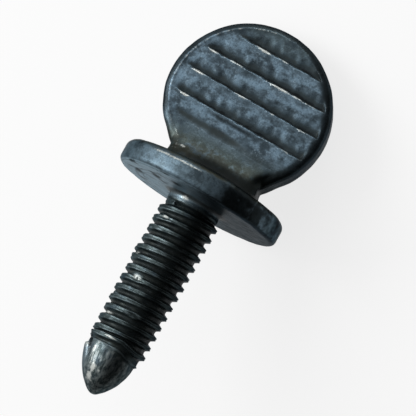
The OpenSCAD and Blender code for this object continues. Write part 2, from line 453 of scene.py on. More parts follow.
# --- Shank: the helix ---
# One side of the rolled ridge from root to crest: share of the pitch, share of the height
ROLLED_SIDE = (
    (0.125, 0.0), (0.18, 0.12), (0.28, 0.60), (0.33, 0.86), (0.365, 0.97), (0.41, 1.0),
    (0.455, 0.97),
)
# Depth of the seam that rolling leaves along the crest, and of the line along the root
SEAM_D = 0.09
ROOT_LINE_D = 0.03
# Where round the rod the helix starts, its turns, and the steps of each
HELIX_START = math.radians(143)
TURNS = 15
TURN_STEPS = 96
# How much broader the crests are beaten, 1 for not at all and less for more, and where that
# sets in towards the left
BEATEN = 0.72
BEATEN_FROM = (-1.5, 2.5)
# Turns over which the ridge grows and dies away, and the turn at which it ends
FADE_TURNS = 0.5
LAST_TURN = 14.63
# Metal rolled into the roots and worn off the crests on average, and how unevenly
ROOT_FILL = 0.15
CREST_WEAR = 0.07
FILL_SWING = ((0.6, 0.9, 21),)
WEAR_SWING = ((1, 1.3, 22), (0.6, 0.45, 23))
# Share by which the thread's end shrinks, so that it stays inside the point
SHRUNK_END = 0.2
# Blows on the thread: place (y, z), reach along y and z, radius left there
BLOWS = (
    (3.9, -8.85, 0.7, 0.55, 4.05),
    (1.4, -11.95, 0.75, 0.6, 3.62),
    (2.2, -3.6, 0.5, 0.35, 3.7),
    (-0.6, -16.4, 0.6, 0.4, 3.72),
    (3.3, -14.7, 0.6, 0.3, 3.66),
    (3.0, -19.9, 0.5, 0.3, 3.7),
    (3.6, -21.4, 0.6, 0.35, 3.58),
)
# How flat the middle of a blow is, 1 for not flat
BLOW_FLAT = 1.6


def wear_thread(points, turned_by):
    """Fades the ridge at its ends, fills its roots and knocks its crests about."""
    x, y, z = points.T.copy()
    fresh_radius = np.hypot(x, y)
    turn = turned_by + np.round((ROD_TOP - z) / PITCH - 0.5 - turned_by)
    share = np.clip(np.minimum(turn, LAST_TURN - turn) / FADE_TURNS, 0, 1)
    height = (fresh_radius - ROOT_R) / (THREAD_R - ROOT_R)
    root = ROOT_R + ROOT_FILL * rippled(points, FILL_SWING, 1)
    crest = THREAD_R - CREST_WEAR * rippled(points, WEAR_SWING, 1)
    radius = root + (crest - root) * height * share
    middle = ROD_TOP - PITCH * (turn + 0.5)
    off = np.clip((z - middle) / (PITCH / 2), -1, 1)
    power = 1 - (1 - BEATEN) * smoothstep(*BEATEN_FROM, y)
    z = np.where(height > -0.2, middle + PITCH / 2 * np.sign(off) * np.abs(off) ** power, z)
    for at_y, at_z, reach, drop, left in BLOWS:
        blow = spot(y - at_y, z - at_z, reach, drop) * (x < 0)
        radius += np.clip(BLOW_FLAT * blow, 0, 1) * (left - radius)
    radius *= 1 - SHRUNK_END * smoothstep(POINT_TOP + 0.1, POINT_TOP - 0.1, z)
    on_skin = fresh_radius > 0.5 * ROOT_R
    scale = np.where(on_skin, radius / np.maximum(fresh_radius, 1e-6), 1)
    points[:, :2] *= scale[:, None]
    points[:, 2] = np.where(on_skin, z, points[:, 2])


def threaded_rod():
    """A ridge spun into one turn of the helix, repeated, and closed to the axis at both ends."""
    depth = THREAD_R - ROOT_R
    side = [(ROOT_R + depth * height, PITCH * down) for down, height in ROLLED_SIDE]
    section = side + [(THREAD_R - SEAM_D, PITCH / 2)] + [(r, PITCH - z) for r, z in side[::-1]]
    section += [(ROOT_R - ROOT_LINE_D, PITCH), (ROOT_R, PITCH + side[0][1])]
    bm = bmesh.new()
    way = (math.cos(HELIX_START), math.sin(HELIX_START))
    verts = [bm.verts.new((r * way[0], r * way[1], ROD_TOP - z)) for r, z in section]
    edges = [bm.edges.new(pair) for pair in zip(verts, verts[1:])]
    bmesh.ops.spin(bm, geom=verts + edges, cent=(0, 0, 0), axis=(0, 0, 1),
                   dvec=(0, 0, -PITCH / TURN_STEPS), angle=-2 * math.pi, steps=TURN_STEPS,
                   use_merge=False, use_duplicate=False)
    turn = bm.verts[:] + bm.edges[:] + bm.faces[:]
    for k in range(1, TURNS):
        copy = bmesh.ops.duplicate(bm, geom=turn)["geom"]
        bmesh.ops.translate(bm, vec=(0, 0, -PITCH * k), verts=verts_in(copy))
    bmesh.ops.remove_doubles(bm, verts=bm.verts, dist=1e-3)
    middle = ROD_TOP - PITCH * TURNS / 2
    for level in (ROD_TOP, ROD_TOP - PITCH * (TURNS + 1.1)):
        ends = [e for e in bm.edges if e.is_boundary]
        rim = [e for e in ends if (e.verts[0].co.z > middle) == (level > middle)]
        drawn = bmesh.ops.extrude_edge_only(bm, edges=rim)["geom"]
        bmesh.ops.pointmerge(bm, verts=verts_in(drawn), merge_co=(0, 0, level))
    bmesh.ops.recalc_face_normals(bm, faces=bm.faces)
    mesh = mesh_of(bm)
    points = points_of(mesh)
    angle = np.arctan2(points[:, 1], points[:, 0])
    wear_thread(points, (HELIX_START - angle) / (2 * math.pi) % 1)
    set_points(mesh, points)
    return mesh


# --- Shank: the point ---
# Dents in the point, as ripples
DENTS = ((0.035, 1.7, 31), (0.022, 0.6, 32))
# How far the point's right side is flattened, and from where on
POINT_FLAT = 0.34
FLAT_FROM = (0.5, -3.0)
# Chips in the point: place (y, z), reach along y and z, depth
CHIPS = (
    (1.6, -22.2, 0.35, 0.35, 0.12),
    (-1.2, -23.4, 0.4, 0.4, 0.1),
)
# The gash beside the point's top: depth, a place (y, z) on its line, how the line leans, its
# middle height, half its width and half its length
GASH_D = 0.45
GASH_AT = (3.05, -22)
GASH_LEAN = 0.33
GASH_MIDDLE = -22.2
GASH_W = 0.21
GASH_L = 1.35
# How far the lap of metal beside the gash stands out, and where it rises at its top, its foot
# and its right side
LAP = 0.38
LAP_TOP = (-22.2, -22.5)
LAP_FOOT = (-25.2, -22)
LAP_SIDE = (2.4, 3.3)


def gash_share(points):
    """1 in the middle of the gash and 0 away from it."""
    x, y, z = points.T
    line = GASH_AT[0] + GASH_LEAN * (z - GASH_AT[1])
    return spot(y - line, z - GASH_MIDDLE, GASH_W, GASH_L, 4) * (x < 0)


def bullet():
    """The point, turned round Z, then dented, flattened, chipped and gashed."""
    nose = TIP + NOSE_R
    length = POINT_TOP - nose
    radius = (BLANK_R**2 + length**2 - NOSE_R**2) / (2 * (BLANK_R - NOSE_R))
    turn = math.degrees(math.asin(length / (radius - NOSE_R)))
    side = arc((BLANK_R - radius, POINT_TOP), radius, 0, -turn, 24)
    tip = arc((0, nose), NOSE_R, -turn, -90, 12)
    top = POINT_TOP + 2 * RUN_OUT
    mesh = mesh_of(turned([(0, top), (ROOT_R - RUN_OUT, top)] + side + tip[1:], 128))
    points = points_of(mesh)
    below = smoothstep(POINT_TOP + 0.05, POINT_TOP - 0.25, points[:, 2])
    points += normals_of(mesh) * (rippled(points, DENTS) * below)[:, None]
    points[:, 1] += below * smoothstep(*FLAT_FROM, points[:, 1]) * POINT_FLAT
    x, y, z = points.T
    for at_y, at_z, reach, drop, depth in CHIPS:
        chip = spot(y - at_y, z - at_z, reach, drop) * (x < 0)
        points[:, :2] *= (1 - depth / BLANK_R * chip)[:, None]
    lap = smoothstep(*LAP_TOP, z) * smoothstep(*LAP_FOOT, z) * smoothstep(*LAP_SIDE, y)
    points[:, :2] *= (1 + (LAP * lap - GASH_D * gash_share(points)) / BLANK_R)[:, None]
    set_points(mesh, points)
    return mesh


def joined(meshes):
    """One closed skin round the meshes."""
    base = object_of(meshes[0], "base")
    others = [object_of(mesh, "added") for mesh in meshes[1:]]
    for other in others:
        union = base.modifiers.new("union", "BOOLEAN")
        union.operation = "UNION"
        union.solver = "MANIFOLD"
        union.object = other
    mesh = settled(base)
    for other in others:
        bpy.data.objects.remove(other)
    return mesh


def thinned(mesh, triangles):
    count = sum(len(polygon.vertices) - 2 for polygon in mesh.polygons)
    if count <= triangles:
        return mesh
    piece = object_of(mesh, "fine")
    fewer = piece.modifiers.new("fewer", "DECIMATE")
    fewer.ratio = triangles / count
    return settled(piece)


# --- Bends ---
# Heights over which the flange's tilt sets in and ends, and the shank's bends set in
FLANGE_FROM = (-1.5, 0.2)
FLANGE_TO = (NECK_FOOT - 0.3, NECK_FOOT + 4)
SHANK_FROM = (-1.2, -0.4)
# Tilt of the flange towards the screw's right
FLANGE_TILT = math.tan(math.radians(1.15))
# How far the neck, the shank and the point lie to the right; how far above its foot the neck
# lies most to the right, and the reach of that
NECK_SHIFT = 0.14
SHANK_SHIFT = 0.03
POINT_SHIFT = 0.06
NECK_SHIFT_UP = 2
NECK_SHIFT_REACH = 2.4
# How much farther the shank's upper end lies to the right than its lower end, and from where on
SHANK_LEAN = 0.09
LEAN_FROM = (-15, -2)
# Tilt of the thread's turns towards the right, and how much lower they lie than they should
TURN_TILT = 0.012
TURN_LOW = 0.05
# Share by which the shank is thicker under the flange, and what it loses from there to its tip
SWELL = 0.03
TAPER = 0.055
# Where the outline is pulled in below the blade: height, reach, how far left and right.
# Below 0 it's filled out.
PULLED_IN = (
    (LEAVE_Z, 1.9, 0.2, 0.1),
    (6.6, 1.4, 0.4, 0.38),
    (NECK_FOOT + 0.3, 0.7, -0.05, -0.35),
)
# How far the last turn is driven up, the heights where that starts and ends, how they slant,
# and the right side that is left out
DRIVEN_UP = 0.57
DRIVEN_FROM = (-19.25, -20.5)
DRIVEN_TO = (-24.5, -22.3)
DRIVEN_SLANT = 0.1
DRIVEN_SIDE = (-3.2, -0.8)
# How much the point is beaten short
POINT_SHORT = 0.13


def bend(points):
    """The screw isn't quite true: its flange is tilted, its neck off centre, its shank tapered."""
    y, z = points[:, 1].copy(), points[:, 2].copy()
    in_flange = smoothstep(*FLANGE_FROM, z) * (1 - smoothstep(*FLANGE_TO, z))
    in_shank = 1 - smoothstep(*SHANK_FROM, z)
    in_neck = near(z - NECK_FOOT - NECK_SHIFT_UP, NECK_SHIFT_REACH)
    in_point = smoothstep(POINT_TOP, TIP, z)
    for level, reach, left, right in PULLED_IN:
        pulled = right * smoothstep(0, 7, -y) - left * smoothstep(0, 7, y)
        points[:, 1] += near(z - level, reach) * pulled
    points[:, 2] += y * FLANGE_TILT * in_flange + (TURN_TILT * y - TURN_LOW) * in_shank
    points[:, :2] *= (1 + in_shank * (SWELL - TAPER * np.clip(z / TIP, 0, 1)))[:, None]
    points[:, 1] -= SHANK_SHIFT * in_shank + NECK_SHIFT * in_neck + POINT_SHIFT * in_point
    points[:, 1] -= SHANK_LEAN * in_shank * smoothstep(*LEAN_FROM, z)
    points[:, 2] += POINT_SHORT * in_point
    driven = smoothstep(*DRIVEN_FROM, z + DRIVEN_SLANT * y) * smoothstep(*DRIVEN_TO, z)
    points[:, 2] += DRIVEN_UP * driven * smoothstep(*DRIVEN_SIDE, y)


# --- Wear, dirt, painted highlights and painted shade, written on the skin ---
# Passes of smoothing against which the skin's fine and its broad relief stand out
FINE_PASSES = 4
BROAD_PASSES = 60
# The share of the way down a ridge that skin without grooves is given
PLAIN_RIDGE = 0.3
# How bright wear and painted highlights make each place; below 0 it dulls the place
WEAR_AND_HIGHLIGHT = {
    "lip": 2.1,
    "spot": 1.3,
    "corner": 1.2,
    "rim top": 1.1,
    "streak": 0.75,
    "rim foot": 0.5,
    "neck edge": 0.3,
    "outline": -0.5,
    "point top": -1.5,
}
# Small worn spots on the front with painted highlights: place (y, z), reach along y and z
WORN_AND_HIGHLIT_SPOTS = (
    (0.9, -0.45, 0.7, 0.35),
    (2.0, -3.6, 0.5, 0.22),
    (3.1, -9.1, 0.32, 0.25),
    (1.4, -11.95, 0.6, 0.35),
    (2.6, -17.4, 0.7, 0.25),
    (0.65, -20.65, 0.9, 0.14),
    (1.4, -21.75, 0.9, 0.12),
    (2.0, -22.5, 0.16, 0.3),
    (1.0, -24.3, 0.4, 0.6),
    (0.1, -24.5, 0.16, 0.16),
    (1.1, -25.5, 0.45, 0.45),
)
# The painted highlight on the left corner at the neck's foot: how far in and up from the foot,
# reach each way
CORNER_IN = 1.5
CORNER_W = 0.5
CORNER_H = 0.24
# Reach of the painted highlights on the faces' bead, and on the flange's upper and lower edge
BEAD_HIGHLIGHT_W = 0.12
RIM_TOP_HIGHLIGHT_W = 0.17
RIM_FOOT_HIGHLIGHT_W = 0.15
# The painted highlight streak down the point: y and height of its middle, how it leans, its reach
# and its grain
STREAK_Y = 1.2
STREAK_UP = 3
STREAK_LEAN = 0.3
STREAK_W = 0.8
STREAK_GRAIN = (1, 1, 0.35)
# How dark each place is painted, 1 for black: painted shade on the blade's wall and right, under
# the lip, on the seat, the thread's and the point's right and the plain neck; dark marks elsewhere
DIRT_AND_SHADE = {
    "gash": 1.2,
    "ring in the outline": 0.95,
    "blade wall": 0.9,
    "blade right": 0.85,
    "under the lip": 0.8,
    "point top": 0.8,
    "seat": 0.8,
    "thread right": 0.75,
    "point right": 0.6,
    "plain neck": 0.55,
    "outline": 0.5,
}
# Painted shade on the front of the rim on its right, and a dark patch on its left: strength, y of
# its middle, reach
RIM_RIGHT_SHADE = (1.3, -6.1, 2.1)
RIM_LEFT = (0.75, 8.7, 0.8)
# Painted shade on the rim's right end: strength, and the y where it starts
RIM_END_SHADE = (0.6, -8)
# The shade under the fourth lip: how far below, place y, reach down and along
SHADE_BELOW = 0.5
SHADE_Y = 0.3
SHADE_H = 0.42
SHADE_W = 4.3
# Patches in the rim's dark bands, as ripples
PATCHES = ((0.6, 1.4, 42), (0.5, 0.5, 43))
# A dark mark in the blow on the thread's left: place (y, z), reach along y and z
NICK = (3.95, -8.8, 0.25, 0.45)
# Dark marks on the seat: place (x, y), reach along x and y
SEAT_MARKS = (
    (-2.0, 8.0, 1.5, 0.75),
    (-5.2, 5.1, 1.5, 0.85),
    (-7.6, 2.0, 0.9, 0.9),
)


def relief_of(mesh, points, normals):
    """How far each vertex stands out of the skin round it, in the fine and in the broad."""
    count = len(points)
    ends = np.empty(len(mesh.edges) * 2, np.int64)
    mesh.edges.foreach_get("vertices", ends)
    first, second = ends.reshape(-1, 2).T
    both, other = np.concatenate([first, second]), np.concatenate([second, first])
    degree = np.bincount(both, minlength=count)[:, None]

    def relaxed(values):
        sums = [np.bincount(both, values[other, k], count) for k in range(values.shape[1])]
        return 0.5 * values + 0.5 * np.stack(sums, 1) / degree

    smooth = points
    proud = {}
    for step in range(1, BROAD_PASSES + 1):
        smooth = relaxed(smooth)
        if step in (FINE_PASSES, BROAD_PASSES):
            proud[step] = ((points - smooth) * normals).sum(1)
    return proud[FINE_PASSES], proud[BROAD_PASSES]


def face_layers(points, border):
    """What the marks on both faces leave: how pressed, how far down a ridge, worn with painted
    highlights, and shaded.
    """
    x, y, z = points.T
    pressed = np.zeros(len(points))
    ridge = np.full(len(points), PLAIN_RIDGE)
    worn = np.zeros(len(points))
    shade = np.zeros(len(points))
    for side in (-1, 1):
        face = (x * side > BLADE_T / 2 - 0.7) & (z > NECK_FOOT + 0.6)
        yf, zf, inside = y[face], z[face], border[face]
        v = zf - BLADE_Z
        depth, _, down, lip_line = groove_depth(yf, v, side)
        field = field_share(yf, v)
        pressed[face] = depth / GROOVE_D * field
        ridge[face] += (down - ridge[face]) * field
        polished = smoothstep(-0.25, 0.45, ripple(points[face], 0.7, 44))
        # The bead's painted highlight, strongest towards the left
        bead = near(inside - BEAD_IN, BEAD_HIGHLIGHT_W)
        bead *= (0.1 + 0.9 * smoothstep(-4, 2, yf)) * (0.7 + 0.5 * polished)
        worn[face] = (0.2 + 0.5 * smoothstep(LEAVE_Z - 1, LEAVE_Z + 4, zf)) * bead
        worn[face] += WEAR_AND_HIGHLIGHT["lip"] * lip_line * field * (0.5 + 0.5 * polished)
        # Painted highlight on the left corner at the neck's foot
        corner_y, corner_z = yf - NECK_W / 2 + CORNER_IN, zf - NECK_FOOT - CORNER_IN
        worn[face] += WEAR_AND_HIGHLIGHT["corner"] * spot(corner_y, corner_z, CORNER_W, CORNER_H)
        # Painted highlight along the neck's left edge
        strip = smoothstep(1.7, 0.9, inside) * (zf < LEAVE_Z) * (yf > 0)
        worn[face] += WEAR_AND_HIGHLIGHT["neck edge"] * strip
        under_lip = v - LIPS[3] - LIP_RISE * yf + SHADE_BELOW
        shaded = spot(under_lip, yf - SHADE_Y, SHADE_H, SHADE_W, 4)
        shade[face] = DIRT_AND_SHADE["under the lip"] * shaded
    return pressed, ridge, worn, shade


def add_wear_and_highlights(worn, points, border):
    """Adds wear and painted highlights on the flange's edges, spots and the point, and takes them
    off along the outline and at the point's top.
    """
    x, y, z = points.T
    out = np.hypot(x, y)
    worn += WEAR_AND_HIGHLIGHT["outline"] * smoothstep(0.55, 0.3, border) * (z > NECK_FOOT + 0.5)
    worn += WEAR_AND_HIGHLIGHT["point top"] * near(z - POINT_TOP + 0.05, 0.25) * (y < 1.5)
    # Worn spots with painted highlights
    for at_y, at_z, reach, drop in WORN_AND_HIGHLIT_SPOTS:
        worn += WEAR_AND_HIGHLIGHT["spot"] * spot(y - at_y, z - at_z, reach, drop) * (x < 0)
    rim_top = np.hypot(out - FLANGE_R + 0.03, z - FLANGE_H + 0.8)
    rim_foot = np.hypot(out - FLANGE_R + 0.1, z - 0.1)
    # The flange's edges get their painted highlights towards the left only
    left = smoothstep(-4, 2, y) * (1 - smoothstep(5.2, 7.5, y))
    rim_top_highlight = WEAR_AND_HIGHLIGHT["rim top"] * near(rim_top, RIM_TOP_HIGHLIGHT_W) * left
    worn += rim_top_highlight + WEAR_AND_HIGHLIGHT["rim foot"] * near(rim_foot, RIM_FOOT_HIGHLIGHT_W) * left
    # Painted highlight streak down the point
    streak = near(y - STREAK_Y - STREAK_LEAN * (z - TIP - STREAK_UP), STREAK_W)
    streak *= (z < POINT_TOP - 0.1) * (x < 0)
    grain = smoothstep(-0.3, 0.5, ripple(points * STREAK_GRAIN, 0.5, 41))
    worn += WEAR_AND_HIGHLIGHT["streak"] * streak * grain


def head_dirt_and_shade(points, normals, border):
    """Painted shade round the neck's foot with some dirt, on the blade's side wall, near its right
    edge and on the rim's right; darker lines round the outline and a dark patch on the rim's left.
    """
    x, y, z = points.T
    out = np.hypot(x, y)
    # Painted shade in the concave foot of the neck, with some dirt, lighter towards the left
    foot = near(z - NECK_FOOT - 0.6, 1.5) * (1 - 0.5 * smoothstep(0, 4, y))
    foot *= 1 - smoothstep(NECK_W / 2, NECK_W / 2 + 1.2, np.abs(y))
    foot *= 1 - smoothstep(5, 7.5, np.abs(x))
    # Painted shade on the blade's side wall
    wall = 1 - smoothstep(0.25, 0.5, np.abs(normals[:, 0]))
    wall *= (border < 0.5) * (z > NECK_FOOT)
    above_foot = z > NECK_FOOT + 0.5
    # Painted shade near the blade's right edge
    right = smoothstep(2.1, 0.8, border) * smoothstep(-2, -5.5, y) * above_foot
    ring = smoothstep(0.88, 0.7, border) * smoothstep(-0.1, 0.15, border)
    ring *= DIRT_AND_SHADE["ring in the outline"] * smoothstep(LEAVE_Z - 3, LEAVE_Z, z)
    outline = np.maximum(ring, DIRT_AND_SHADE["outline"] * (border < 0.2)) * above_foot
    right = np.maximum(right, outline)
    # Painted shade on the rim's right and its right end, and a dark patch on its left
    strength, middle, reach = RIM_RIGHT_SHADE
    rim = strength * near(y - middle, reach) * (x < 0) + RIM_END_SHADE[0] * (y < RIM_END_SHADE[1])
    strength, middle, reach = RIM_LEFT
    rim += strength * near(y - middle, reach) * smoothstep(1.0, 2.0, z) * (x < 0)
    rim *= (out > FLANGE_R - 1.6) * (z > 0.1) * (z < FLANGE_H + 0.3)
    rim = np.clip(rim * (1 + rippled(points, PATCHES)), 0, 1)
    return np.maximum.reduce([foot, DIRT_AND_SHADE["blade wall"] * wall, DIRT_AND_SHADE["blade right"] * right, rim])


def shank_dirt_and_shade(points):
    """Painted shade on the seat's right, the plain neck, the thread's right and the point's right;
    dark marks on the seat, in the gash and the blow, and along the point's top.
    """
    x, y, z = points.T
    out = np.hypot(x, y)
    nick_y, nick_z, *reaches = NICK
    nick = spot(y - nick_y, z - nick_z, *reaches) * (x < 0)
    gash = DIRT_AND_SHADE["gash"] * np.maximum(gash_share(points), nick)
    point_top = DIRT_AND_SHADE["point top"] * near(z - POINT_TOP - 0.1, 0.16) * (out > BLANK_R - 0.5)
    # Painted shade on the point's right
    point_right_shade = DIRT_AND_SHADE["point right"] * smoothstep(0.0, -1.5, y) * (z < POINT_TOP)
    # Painted shade on the seat, darker towards the right, and the seat's dark marks
    seat = DIRT_AND_SHADE["seat"] * smoothstep(2, -4, y) * (z < 0.3) * (z > -0.2) * (out > 3.8)
    for at_x, at_y, reach_x, reach_y in SEAT_MARKS:
        mark = spot(x - at_x, y - at_y, reach_x, reach_y) * (z < 0.25)
        seat = np.maximum(seat, mark * (z > -0.2))
    in_thread = (z < -RELIEF_L) * (z > POINT_TOP)
    # Painted shade on the thread's right
    thread_right_shade = DIRT_AND_SHADE["thread right"] * smoothstep(1.6, -2.0, y) * in_thread
    # Painted shade on the plain neck under the flange
    plain = DIRT_AND_SHADE["plain neck"] * (z < -0.15) * (z > -RELIEF_L - 0.5)
    return np.maximum.reduce([gash, point_top, point_right_shade, seat, thread_right_shade, plain])


def write_layers(mesh):
    """Writes how the metal is placed and worn at each vertex, and where light and shade are
    painted, for its material.
    """
    points = points_of(mesh)
    normals = normals_of(mesh)
    border = inside_outline(points[:, 1], points[:, 2])
    edge, broad = relief_of(mesh, points, normals)
    pressed, ridge, worn, shade = face_layers(points, border)
    add_wear_and_highlights(worn, points, border)
    grime = np.maximum.reduce([head_dirt_and_shade(points, normals, border), shank_dirt_and_shade(points), shade])
    layers = {"edge": edge, "broad": broad, "pressed": pressed, "ridge": ridge, "worn": worn,
              "grime": grime}
    for name, values in layers.items():
        layer = mesh.attributes.new(name, "FLOAT", "POINT")
        layer.data.foreach_set("value", values.astype(np.float32))
    layer = mesh.attributes.new("upright", "FLOAT_VECTOR", "POINT")
    layer.data.foreach_set("vector", points.astype(np.float32).ravel())


# --- Metal: nodes ---
class Value:
    """A shader socket whose arithmetic adds Math nodes."""

    def __init__(self, paint, socket):
        self.paint = paint
        self.socket = socket

    def math(self, operation, *values):
        return self.paint.node("ShaderNodeMath", dict(enumerate(values)), operation=operation)

    def __add__(self, other):
        return self.math("ADD", self, other)

    def __sub__(self, other):
        return self.math("SUBTRACT", self, other)

    def __rsub__(self, other):
        return self.math("SUBTRACT", other, self)

    def __mul__(self, other):
        return self.math("MULTIPLY", self, other)

    def __abs__(self):
        return self.math("ABSOLUTE", self)

    __radd__ = __add__
    __rmul__ = __mul__

    def step(self, low, high):
        """0 below low, 1 above high and smooth between them."""
        ends = {"Value": self, "From Min": low, "From Max": high}
        return self.paint.node("ShaderNodeMapRange", ends, interpolation_type="SMOOTHSTEP")


class Paint:
    """Adds nodes to a material or a world."""

    def __init__(self, owner):
        owner.use_nodes = True
        self.tree = owner.node_tree

    def node(self, kind, inputs, output=0, **settings):
        node = self.tree.nodes.new(kind)
        for name, setting in settings.items():
            setattr(node, name, setting)
        for key, value in inputs.items():
            self.feed(node.inputs[key], value)
        return Value(self, node.outputs[output])

    def feed(self, socket, value):
        if isinstance(value, Value):
            self.tree.links.new(value.socket, socket)
        elif isinstance(value, tuple) and len(value) == 3 and socket.type == "RGBA":
            socket.default_value = (*value, 1)
        else:
            socket.default_value = value

    def attribute(self, name, output="Fac"):
        return self.node("ShaderNodeAttribute", {}, output, attribute_name=name)

    def noise(self, place, size, detail, roughness):
        inputs = {"Vector": place, "Scale": 1 / size, "Detail": detail, "Roughness": roughness}
        return self.node("ShaderNodeTexNoise", inputs)

    def stretched(self, place, vec):
        return self.node("ShaderNodeVectorMath", {0: place, 1: vec}, operation="MULTIPLY")

    def part(self, place, axis):
        return self.node("ShaderNodeSeparateXYZ", {0: place}, axis)

    def length(self, place):
        return self.node("ShaderNodeVectorMath", {0: place}, "Value", operation="LENGTH")

    def blend(self, low, high, share):
        """A colour between two; a Mix node has its colour sockets at 6 and 7, its colour at 2."""
        return self.node("ShaderNodeMix", {0: share, 6: low, 7: high}, 2, data_type="RGBA")


# --- Metal: dark steel ---
# Plating, from its dark patches to its palest specks, and the pits in it
PLATING_DARK = (0.040, 0.057, 0.070)
PLATING = (0.098, 0.142, 0.178)
PLATING_PALE = (0.163, 0.244, 0.315)
SPECK = (0.36, 0.47, 0.55)
PIT = (0.022, 0.030, 0.035)
# Brown of the neck and of the flange's top
BROWN = (0.035, 0.045, 0.039)
TOP_BROWN = (0.040, 0.042, 0.033)
# The seat's painted reflection, and what is scored into it
SEAT_REFLECTION = (0.310, 0.415, 0.480)
SEAT_SCORE = (0.030, 0.036, 0.038)
# The point, streaked pale and dark, and the painted light on its left side
POINT_PALE = (0.210, 0.238, 0.240)
POINT_DARK = (0.022, 0.029, 0.031)
POINT_LEFT_LIGHT = (0.150, 0.190, 0.220)
# Dirt and painted shade in hollows, painted shade on the grooves' slopes and floors, the dirt and
# shade layer's dark, painted shade in the deepest hollows, and the thread's darker roots
HOLLOW = (0.033, 0.037, 0.032)
GROOVE_SLOPE = (0.025, 0.036, 0.041)
GROOVE_FLOOR = (0.007, 0.009, 0.010)
DIRT_AND_SHADE_TONE = (0.008, 0.010, 0.010)
DEEP = (0.005, 0.006, 0.006)
THREAD_ROOT = (0.011, 0.017, 0.019)
# The thread's crests, painted lighter on the left, and the dark scratches on them
THREAD_CREST = (0.140, 0.176, 0.190)
THREAD_SCRATCH = (0.010, 0.014, 0.016)
# Bare steel on edges, and on worn spots with their painted highlights
BARE = (0.46, 0.49, 0.47)
WORN_AND_HIGHLIT_BARE = (0.44, 0.46, 0.44)
# Tint of the sheen at a glancing view
SHEEN = (0.35, 0.38, 0.40)
# Depth of the finest relief, left to bump, and the plain steel's roughness and metal
BUMP_D = 0.045 * MM
ROUGHNESS = 0.40
METALLIC = 0.9
# Noises: size of their lumps, detail and roughness
CLOUDS = (2.3, 4, 0.55)
MOTTLE = (0.85, 4, 0.62)
GRIT = (0.25, 3, 0.65)
DRAWN = (0.42, 4, 0.65)
SCRATCHES = (0.45, 3, 0.6)
STROKES = (1.5, 3, 0.6)
# How the noises' lumps are drawn out: below 1 they are longer that way
ACROSS_BLADE = (1, 0.75, 1)
ALONG_POINT = (1, 1, 0.4)
ROUND_THREAD = (0.25, 0.25, 2.2)
ACROSS_SEAT = (1, 0.6, 1)


class Skin:
    """What the looks follow: the screw's parts, noises, and the layers of wear, dirt, painted
    highlights and painted shade.
    """

    def __init__(self, paint):
        self.place = paint.attribute("upright", "Vector")
        self.across = paint.part(self.place, 1)
        self.height = paint.part(self.place, 2)
        self.radius = paint.length(paint.stretched(self.place, (1, 1, 0)))
        self.edge = paint.attribute("edge")
        self.broad = paint.attribute("broad")
        self.pressed = paint.attribute("pressed")
        self.ridge = paint.attribute("ridge")
        self.worn = paint.attribute("worn")
        self.grime = paint.attribute("grime")

        self.shank = 1 - self.height.step(-1.1, -0.4)
        self.point = 1 - self.height.step(POINT_TOP - 0.6, POINT_TOP - 0.1)
        self.thread = self.shank - self.point
        self.blade = self.height.step(NECK_FOOT + 2.5, NECK_FOOT + 6)
        self.seat = (1 - self.height.step(0.05, 0.3)) * (1 - self.shank)
        self.rim = self.radius.step(FLANGE_R - 0.7, FLANGE_R - 0.3)
        self.rim *= 1 - self.height.step(FLANGE_H - 0.5, FLANGE_H - 0.2)

        drawn_out = paint.stretched(self.place, ACROSS_BLADE)
        self.clouds = paint.noise(drawn_out, *CLOUDS)
        self.mottle = paint.noise(drawn_out, *MOTTLE)
        self.grit = paint.noise(self.place, *GRIT)
        self.drawn = paint.noise(paint.stretched(self.place, ALONG_POINT), *DRAWN)
        self.scratched = paint.noise(paint.stretched(self.place, ROUND_THREAD), *SCRATCHES)

        uneven = self.mottle - 0.5
        gritty = self.grit - 0.5
        self.hollow = (self.broad * -1 + uneven * 0.08).step(0.0, 0.10)
        self.slope = (self.pressed + uneven * 0.8 + gritty * 0.4).step(0.0, 0.8)
        chipped = gritty * 0.10 + uneven * 0.05
        self.bare = (self.edge * 0.7 + self.worn * 0.05 + chipped).step(0.026, 0.068)
        self.bare *= 1 - self.thread
        streaks = (self.drawn - 0.5) * 1.6 * self.point
        # Wear together with the painted highlights
        self.worn_and_highlit = (self.worn + streaks + gritty * 1.2).step(0.6, 1.4)


def plated(paint, skin):
    """Mottled plating with pale specks and dark pits, liveliest on the blade; each ridge gets
    painted light across its crown and painted shade towards the lip below it.
    """
    # Each ridge is painted paler across its crown and darker towards the lip below: painted light
    # and shade
    dull = skin.clouds * 0.5 + skin.mottle * 0.5 - skin.ridge * 0.08
    tone = paint.blend(PLATING_DARK, PLATING, dull.step(0.33, 0.54))
    lively = 0.5 + skin.blade * 0.5 + skin.rim * 0.1
    crown = 0.5 - abs(skin.ridge - 0.38) * 2
    pale = (skin.mottle * 0.6 + skin.clouds * 0.4 + crown * 0.16).step(0.49, 0.70)
    tone = paint.blend(tone, PLATING_PALE, pale * lively)
    specks = skin.grit.step(0.53, 0.68) * skin.mottle.step(0.40, 0.6)
    tone = paint.blend(tone, SPECK, specks * lively * 0.35)
    pits = 1 - skin.grit.step(0.34, 0.46)
    return paint.blend(tone, PIT, pits * 0.45)


def browned(paint, skin, tone):
    """Brown below the blade and at its crown, and on the flange's top."""
    brown = 1 - skin.blade + skin.height.step(BLADE_Z + 6.5, BLADE_Z + 9.5) * 0.7
    brown *= (skin.clouds * 0.5 + skin.mottle * 0.5).step(0.33, 0.52)
    tone = paint.blend(tone, BROWN, brown * (1 - skin.seat) * (1 - skin.rim * 0.6) * 0.85)
    top = skin.height.step(FLANGE_H - 0.75, FLANGE_H - 0.35)
    top *= 1 - skin.height.step(NECK_FOOT + 1.2, NECK_FOOT + 4)
    return paint.blend(tone, TOP_BROWN, top * skin.mottle.step(0.3, 0.62))


